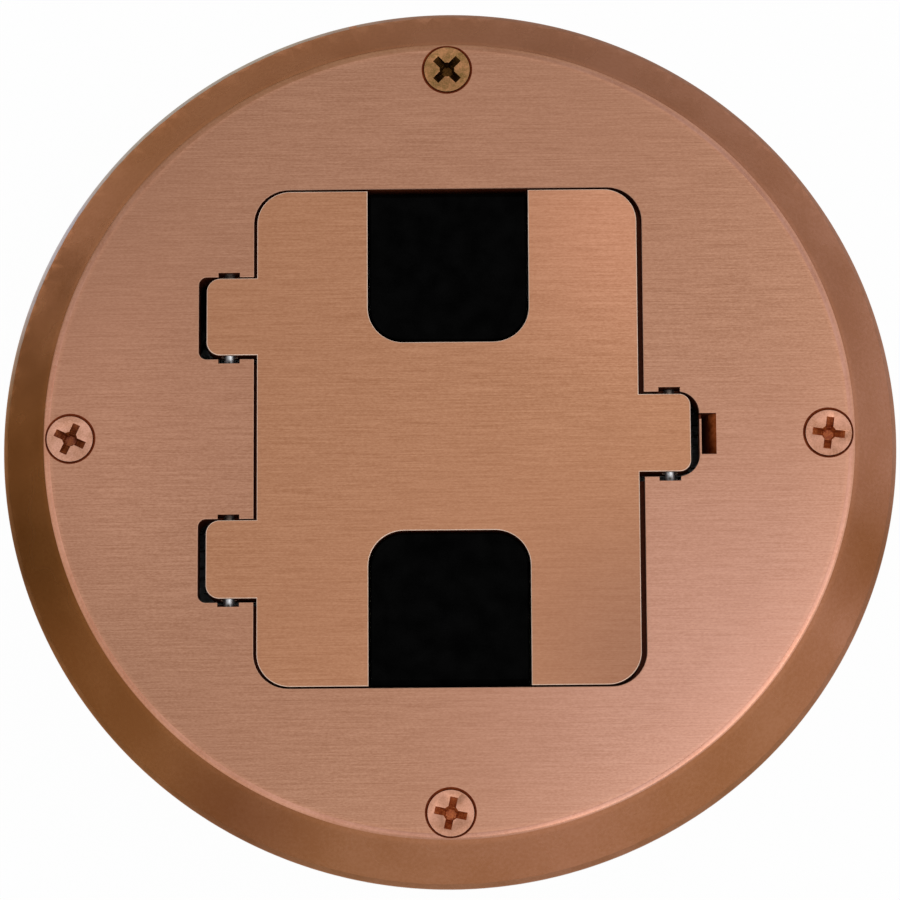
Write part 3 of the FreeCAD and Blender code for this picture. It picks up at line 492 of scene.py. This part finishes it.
def coverEnvelope():
    look = coverLook
    foot = look["footStart"]
    profile = [(0, look["envelopeFoot"]), (rimRadius, look["envelopeFoot"]), (rimRadius, foot)]
    for n in range(1, look["footSteps"] + 1):
        turn = math.radians(45 * n / look["footSteps"])
        profile.append((rimRadius - look["footRadius"] * (1 - math.cos(turn)),
                        foot + look["footRadius"] * math.sin(turn)))
    span = look["crownEnd"] - look["crownStart"]
    crown = []
    for n in range(look["crownSteps"] + 1):
        part = n / look["crownSteps"]
        crown.append((look["crownStart"] + span * part,
                      coverTop + look["over"] - look["crownDrop"] * part ** 2))
    # a broad shoulder, then a small round, run on from the crown's slope to the bevel's
    bend = [crown[-1]]
    slope = math.atan(2 * look["crownDrop"] / span)
    for radius, end in ((look["shoulderRadius"], math.radians(look["shoulderLean"])),
                        (look["roundRadius"], math.radians(look["bevelSlope"]))):
        edgeRadius, edgeHeight = bend[-1]
        start = slope
        for n in range(1, look["roundSteps"] + 1):
            slope = start + (end - start) * n / look["roundSteps"]
            bend.append((edgeRadius + radius * (math.sin(slope) - math.sin(start)),
                         edgeHeight - radius * (math.cos(start) - math.cos(slope))))
    # the outermost band of the bevel is a strip of its own
    outerRadius, outerHeight = bend[-1]
    part = 1 - look["bandWidth"] / (rimRadius - outerRadius)
    profile.append((outerRadius + (rimRadius - outerRadius) * part,
                    outerHeight + (look["bevelFoot"] - outerHeight) * part))
    profile += reversed(crown + bend[1:])
    above = coverTop + look["envelopeTop"]
    profile += [(look["crownStart"], above), (0, above)]
    return lathe(profile, look["steps"])


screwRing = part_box("cover_screws")[1].x - coverLook["headRadius"] * mm
coverScrewAxes = [Vector((screwRing * x, screwRing * y, 0))
                  for x, y in ((1, 0), (0, 1), (-1, 0), (0, -1))]


def fromScrew(point):
    # how far a point is from the nearest cover screw's axis
    return min(math.hypot(point.x - axis.x, point.y - axis.y) for axis in coverScrewAxes) / mm


def screwSinks():
    # the countersinks' mouths, worn a little wide round each screw head
    sinks = bmesh.new()
    over = coverLook["sinkOver"]
    slope = math.tan(math.radians(coverLook["sinkSlope"]))
    mouth = coverLook["sinkRadius"] + over
    for axis in coverScrewAxes:
        made = bmesh.ops.create_cone(
            sinks, cap_ends=True, segments=coverLook["sinkSteps"],
            radius1=coverLook["sinkTip"] * mm, radius2=mouth * mm, depth=mouth / slope * mm)
        middleHeight = coverTop + over / slope - mouth / slope / 2
        bmesh.ops.translate(sinks, verts=made["verts"],
                            vec=axis + Vector((0, 0, middleHeight * mm)))
    return sinks


coverFinishes = {"face": plateFace, "bevel": plateBevel, "walls": copperWallsShaded, "rim": rimEdge,
                 "pry": pryRampShaded, "groove": grooveDirt, "edge": openingEdgeHighlight,
                 "shoulder": plateShoulder}
# Where the finishes meet: depths under the face, radii, and how level a face of the mesh is
coverAreas = {"shoulderStart": 59.3, "shoulderDepth": 0.5, "shoulderLevel": 0.8,
              "faceDepth": 0.3, "faceLevel": 0.99, "bevelStart": 58.0, "bevelLevel": 0.05,
              "rimHeight": 1.05, "pryWest": 37.3, "pryReach": 41, "pryLevel": 0.5,
              "edgeDepth": 0.15, "edgeLevel": 0.3}


def coverFinish(face):
    areas = coverAreas
    centre = face.calc_center_median() / mm
    radius = max(math.hypot(v.co.x, v.co.y) for v in face.verts) / mm
    depth = coverTop - centre.z
    level = face.normal.z
    outer = radius > areas["bevelStart"]
    inSink = fromScrew(face.calc_center_median()) < coverLook["sinkRadius"]
    if inSink and 0 < level < areas["shoulderLevel"]:
        return "groove"
    if (depth < areas["shoulderDepth"] and radius > areas["shoulderStart"]
            and level > areas["shoulderLevel"]):
        return "shoulder"
    if depth < areas["faceDepth"] and level > areas["faceLevel"]:
        return "face"
    if outer and centre.z < areas["rimHeight"]:
        return "rim"
    if outer and level > areas["bevelLevel"]:
        return "bevel"
    if (centre.x > areas["pryWest"] and radius < areas["pryReach"]
            and level > areas["pryLevel"]):
        return "pry"
    if depth < areas["edgeDepth"] and level > areas["edgeLevel"]:
        return "edge"
    return "walls"


cover = combined(copyOfNode("cover_plate"), coverEnvelope(), "INTERSECT")
cover = combined(cover, screwSinks(), "DIFFERENCE")
shadeByAngle(cover, copying["edge"])
paintFaces(cover, coverFinishes, coverFinish)
finishPiece(cover, "cover_plate_look", "box", coverFinishes.values(),
            ["cover_plate"])
print("cover plate made")

# Lid: its upper edges are broken all round, and its walls and underside are as plated
lidFinishes = {"face": lidFace, "edge": lidEdgeHighlight, "walls": copperWallsShaded}
lidAreas = {"faceDepth": 0.01, "faceLevel": 0.995, "edgeLevel": 0.2}
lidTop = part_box("lid")[1].z


def lidFinish(face):
    depth = abs(face.calc_center_median().z - lidTop)
    if face.normal.z > lidAreas["faceLevel"] and depth < lidAreas["faceDepth"] * mm:
        return "face"
    return "edge" if face.normal.z > lidAreas["edgeLevel"] else "walls"


lid = copyOfNode("lid")
paintFaces(lid, lidFinishes, lidFinish)
finishPiece(lid, "lid_look", "lid", lidFinishes.values(), ["lid"])
print("lid made")


def coil(radius, wire, length, turns, sides, stepsPerTurn):
    # a close helix along +Z from the origin, its ends closed
    shape = bmesh.new()
    ring = bmesh.ops.create_circle(shape, cap_ends=True, segments=sides, radius=wire / 2 * mm)
    bmesh.ops.rotate(shape, verts=ring["verts"], cent=(0, 0, 0),
                     matrix=Matrix.Rotation(math.pi / 2, 3, "X"))
    bmesh.ops.translate(shape, verts=ring["verts"], vec=(radius * mm, 0, wire / 2 * mm))
    steps = int(turns * stepsPerTurn)
    rise = (length - wire) / steps * mm
    bmesh.ops.spin(shape, geom=shape.verts[:] + shape.edges[:] + shape.faces[:], cent=(0, 0, 0),
                   axis=(0, 0, 1), dvec=(0, 0, rise), angle=fullTurn * turns, steps=steps,
                   use_merge=False, use_duplicate=False)
    bmesh.ops.remove_doubles(shape, verts=shape.verts, dist=weldGap * mm)
    bmesh.ops.recalc_face_normals(shape, faces=shape.faces)
    return shape


# Cord doors, each on its pin, with its coiled spring
doorLook = {"edge": 0.15, "pinEdge": 0.1, "springTurns": 14, "wire": 0.4, "wireSides": 8,
            "turnSteps": 16, "wireEdge": 60}
for end in ("north", "south"):
    carryOver("cord_door_" + end, "cord_door_" + end, blackNylon, doorLook["edge"])
    carryOver("door_pin_" + end, "lid", brightPin, doorLook["pinEdge"])
    low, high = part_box("door_spring_" + end)
    length = (high.x - low.x) / mm
    outside = (high.z - low.z) / 2 / mm
    spring = coil(outside - doorLook["wire"] / 2, doorLook["wire"], length,
                  doorLook["springTurns"], doorLook["wireSides"], doorLook["turnSteps"])
    bmesh.ops.rotate(spring, verts=spring.verts, cent=(0, 0, 0),
                     matrix=Matrix.Rotation(math.pi / 2, 3, "Y"))
    centre = (low + high) / 2
    bmesh.ops.translate(spring, verts=spring.verts, vec=(low.x, centre.y, centre.z))
    shadeByAngle(spring, doorLook["wireEdge"])
    finishPiece(spring, "door_spring_%s_coil" % end, "lid", [springSteel],
                ["door_spring_" + end])

# Spring bars: rolled tube, domed plungers, and a coil spring in two halves
barLook = {"steps": 32, "domeSteps": 6, "nose": 0.8, "head": 0.9, "headLength": 1.2,
           "headEdge": 0.12, "dome": 0.45, "tube": 1.2, "bore": 0.95, "lip": 0.4, "roll": 0.25,
           "mouthGap": 0.05, "edge": 40, "wire": 0.22, "pitch": 0.55, "wireSides": 6,
           "turnSteps": 12, "wireEdge": 70, "travel": 1.2}


def tubeShape(half):
    look = barLook
    mouth = look["nose"] + look["mouthGap"]
    roll = [(look["tube"] - look["roll"] * (1 - math.sin(turn)),
             half - look["roll"] * (1 - math.cos(turn)))
            for turn in (math.pi / 2, math.pi / 3, math.pi / 6, 0)]
    upper = [(look["bore"], 0), (look["bore"], half - look["lip"]), (mouth, half - look["lip"]),
             (mouth, half)] + roll[::-1]
    lower = [(radius, -height) for radius, height in upper[1:]]
    return lathe(upper + lower[::-1] + upper[:1], look["steps"])


def plungerShape(length):
    look = barLook
    edge = look["headEdge"]
    profile = [(0, 0), (look["head"] - edge, 0), (look["head"], edge),
               (look["head"], look["headLength"] - edge), (look["nose"], look["headLength"])]
    for n in range(look["domeSteps"] + 1):
        turn = math.pi / 2 * n / look["domeSteps"]
        profile.append((look["nose"] * math.cos(turn),
                        length - look["dome"] + look["dome"] * math.sin(turn)))
    return lathe(profile, look["steps"])


for bar in pinLook["bars"]:
    low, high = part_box(bar + "_tube")
    centre = (low + high) / 2
    tube = tubeShape((high.y - low.y) / 2 / mm)
    placeAlongY(tube, 1, centre)
    shadeByAngle(tube, barLook["edge"])
    finishPiece(tube, bar + "_tube_rolled", "lid", [brightPin], [bar + "_tube"])
    springLow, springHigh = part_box(bar + "_spring")
    half = (springHigh.y - springLow.y) / 2
    springCentre = (springLow + springHigh) / 2
    for end, side in (("north", 1), ("south", -1)):
        node = "%s_plunger_%s" % (bar, end)
        low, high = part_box(node)
        pin = plungerShape((high.y - low.y) / mm)
        start = Vector((centre.x, low.y if side > 0 else high.y, centre.z))
        placeAlongY(pin, side, start)
        shadeByAngle(pin, barLook["edge"])
        finishPiece(pin, node + "_domed", node, [brightPin], [node])
        turns = int(half / mm / barLook["pitch"])
        outside = (springHigh.z - springLow.z) / 2 / mm
        spring = coil(outside - barLook["wire"] / 2, barLook["wire"], half / mm, turns,
                      barLook["wireSides"], barLook["turnSteps"])
        placeAlongY(spring, side, springCentre)
        shadeByAngle(spring, barLook["wireEdge"])
        piece = finishPiece(spring, "%s_spring_%s" % (bar, end), "lid",
                            [springSteel], [bar + "_spring"])
        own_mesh(piece)
print("doors and bars made")

# Screws
screwLook = {"edge": 0.05, "skin": 0.05, "recess": 2.6, "span": 4.9, "footSpan": 2.2,
             "wing": 1.12, "footWing": 0.8, "depth": 1.5, "over": 0.05, "recessLevel": -0.3}


def wing(axis, top, degrees):
    # one tapered wing of the cross recess, worn a little wider than new
    look = screwLook
    cutter = bmesh.new()
    made = bmesh.ops.create_cube(cutter, size=1.0)
    for vert in made["verts"]:
        atTop = vert.co.z > 0
        vert.co.x *= (look["span"] if atTop else look["footSpan"]) * mm
        vert.co.y *= (look["wing"] if atTop else look["footWing"]) * mm
        vert.co.z = top + (look["over"] if atTop else -look["depth"]) * mm
    bmesh.ops.rotate(cutter, verts=made["verts"], cent=(0, 0, 0),
                     matrix=Matrix.Rotation(math.radians(degrees), 3, "Z"))
    bmesh.ops.translate(cutter, verts=made["verts"], vec=axis)
    return cutter


def coverScrew(node, heads, finishes):
    shape = copyOfNode(node)
    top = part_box(node)[1].z
    for number, degrees in heads:
        for turn in (degrees, degrees + 90):
            shape = combined(shape, wing(coverScrewAxes[number], top, turn), "DIFFERENCE")

    def screwFinish(face):
        centre = face.calc_center_median()
        sunk = centre.z < top - screwLook["skin"] * mm
        facingUp = face.normal.z > screwLook["recessLevel"]
        return "recess" if sunk and facingUp and fromScrew(centre) < screwLook["recess"] else "head"

    paintFaces(shape, finishes, screwFinish)
    piece = finishPiece(shape, node + "_look", "box", finishes.values(), [node],
                        weighted=False)
    breakEdges(piece, screwLook["edge"])


coverScrew("cover_screws", [(0, -7.5), (2, -25.0), (3, -12.0)],
           {"head": copperScrew, "recess": screwRecessDirtAndShade})
coverScrew("cover_screw_brass", [(1, 45.0)],
           {"head": brassScrew, "recess": brassRecess})

# Everything below the floor
belowFloor = [
    ("cover_gasket", "gasket_rubber", gasketRubber, 0.05), ("box_body", "cast_box", castBox, 0.5),
    ("box_ground_screw", "green_steel", greenSteel, 0.1),
    ("device_plate", "plate_steel", plateSteel, 0.15),
    ("device_plate_screw", "zinc_steel", zincSteel, 0.1),
    ("receptacle_face", "ivory_nylon", ivoryNylon, 0.3),
    ("receptacle_base", "black_phenolic", blackPhenolic, 0.3),
    ("receptacle_yoke", "zinc_steel", zincSteel, 0.1),
    ("receptacle_rivet", "contact_brass", contactBrass, 0.1),
    ("line_contact", "contact_brass", contactBrass, 0.08),
    ("neutral_contact", "contact_brass", contactBrass, 0.08),
    ("ground_contact", "contact_brass", contactBrass, 0.08),
    ("line_terminal_screws", "contact_brass", contactBrass, 0.08),
    ("neutral_terminal_screws", "zinc_steel", zincSteel, 0.1),
    ("ground_terminal_screw", "green_steel", greenSteel, 0.1),
    ("yoke_screws", "zinc_steel", zincSteel, 0.1)]
for node, slotName, material, edge in belowFloor:
    carryOver(node, "box", material, edge)
print("box and receptacle made")

# A pale floor that shows as white, one large soft lamp, and a wall of light to one side
studio = {
    "floorSize": 0.9, "floorColour": "F2F2F2", "floorGlow": 0.97,
    "lampPlace": (0.38, -0.25, 1.15), "lampSize": 0.8, "lampPower": 3.25,
    "wallLevel": 0.56, "wallTowards": (0.235, -0.14, 0.33), "plainFill": 0.75,
    "floorRoughness": 0.9, "floorSpecular": 0.1, "floorBelow": 0.1,
}

floorMaterial, tree, shader = newMaterial("studio_floor")
setShader(tree, shader, {
    "Base Color": hexColour(studio["floorColour"]), "Roughness": studio["floorRoughness"],
    "Specular IOR Level": studio["floorSpecular"]})
rays = addNode(tree, "LightPath").outputs
seen = calculated(tree, "ADD", rays["Is Camera Ray"], rays["Is Glossy Ray"])
seenThrough = calculated(tree, "ADD", seen, rays["Is Transmission Ray"], clamp=True)
share = calculated(tree, "MULTIPLY", seenThrough, studio["floorGlow"])
glow = addNode(tree, "Emission", inputs={"Color": (1, 1, 1, 1), "Strength": 1.0})
mixed = addNode(tree, "MixShader", inputs={0: share, 1: shader.outputs[0], 2: glow.outputs[0]})
output = [node for node in tree.nodes if node.bl_idname == "ShaderNodeOutputMaterial"][0]
tree.links.new(mixed.outputs[0], output.inputs["Surface"])

floorShape = bmesh.new()
bmesh.ops.create_grid(floorShape, x_segments=1, y_segments=1, size=studio["floorSize"] / 2)
floorHeight = cadBox[0][2] - studio["floorBelow"] * mm
bmesh.ops.translate(floorShape, verts=floorShape.verts, vec=(0, 0, floorHeight))
floor = asObject(floorShape, "floor", [floorMaterial])

world = bpy.data.worlds.new("studio")
bpy.context.scene.world = world
world.use_nodes = True
tree = world.node_tree
tree.nodes.clear()
direction = addNode(tree, "VectorMath", {"operation": "DOT_PRODUCT"}, {
    0: addNode(tree, "TexCoord").outputs["Generated"], 1: studio["wallTowards"]})
walls = calculated(tree, "ADD", direction.outputs["Value"], studio["wallLevel"])
rays = addNode(tree, "LightPath").outputs
shown = calculated(tree, "ADD", rays["Is Glossy Ray"], rays["Is Transmission Ray"], clamp=True)
room = addNode(tree, "Mix", {"data_type": "FLOAT"}, {0: shown, 2: studio["plainFill"], 3: walls})
level = addNode(tree, "Mix", {"data_type": "FLOAT"}, {
    0: rays["Is Camera Ray"], 2: room.outputs[0], 3: 1.0})
background = addNode(tree, "Background", inputs={
    "Color": (1, 1, 1, 1), "Strength": level.outputs[0]})
addNode(tree, "OutputWorld", inputs={"Surface": background.outputs[0]})

lampData = bpy.data.lights.new("soft_box", "AREA")
lampData.shape = "SQUARE"
lampData.size = studio["lampSize"]
lampData.energy = studio["lampPower"]
lamp = bpy.data.objects.new("soft_box", lampData)
lamp.location = studio["lampPlace"]
lamp.rotation_euler = (-lamp.location).to_track_quat("-Z", "Y").to_euler()
bpy.context.scene.collection.objects.link(lamp)

# Camera at the viewing angle of a catalogue shot, looking almost straight down
view = {"lens": 207.4, "distance": 0.7681, "target": Vector((0, 0, 0.00707)),
        "towards": Vector((0.0150, -0.2023, 0.9792)), "up": Vector((0.0084, 0.9793, 0.2022)),
        "shift": (0.0013, -0.016), "sensor": 36, "clip": 0.01}
cameraData = bpy.data.cameras.new("camera")
cameraData.lens = view["lens"]
cameraData.sensor_width = view["sensor"]
cameraData.shift_x, cameraData.shift_y = view["shift"]
cameraData.clip_start = view["clip"]
camera = bpy.data.objects.new("camera", cameraData)
back = view["towards"].normalized()
right = view["up"].cross(back).normalized()
up = back.cross(right)
place = view["target"] + view["distance"] * back
turn = Matrix((right, up, back)).transposed().to_4x4()
camera.matrix_world = Matrix.Translation(place) @ turn
bpy.context.scene.collection.objects.link(camera)
bpy.context.scene.camera = camera
bpy.context.scene.view_settings.view_transform = "Standard"
print("studio made")
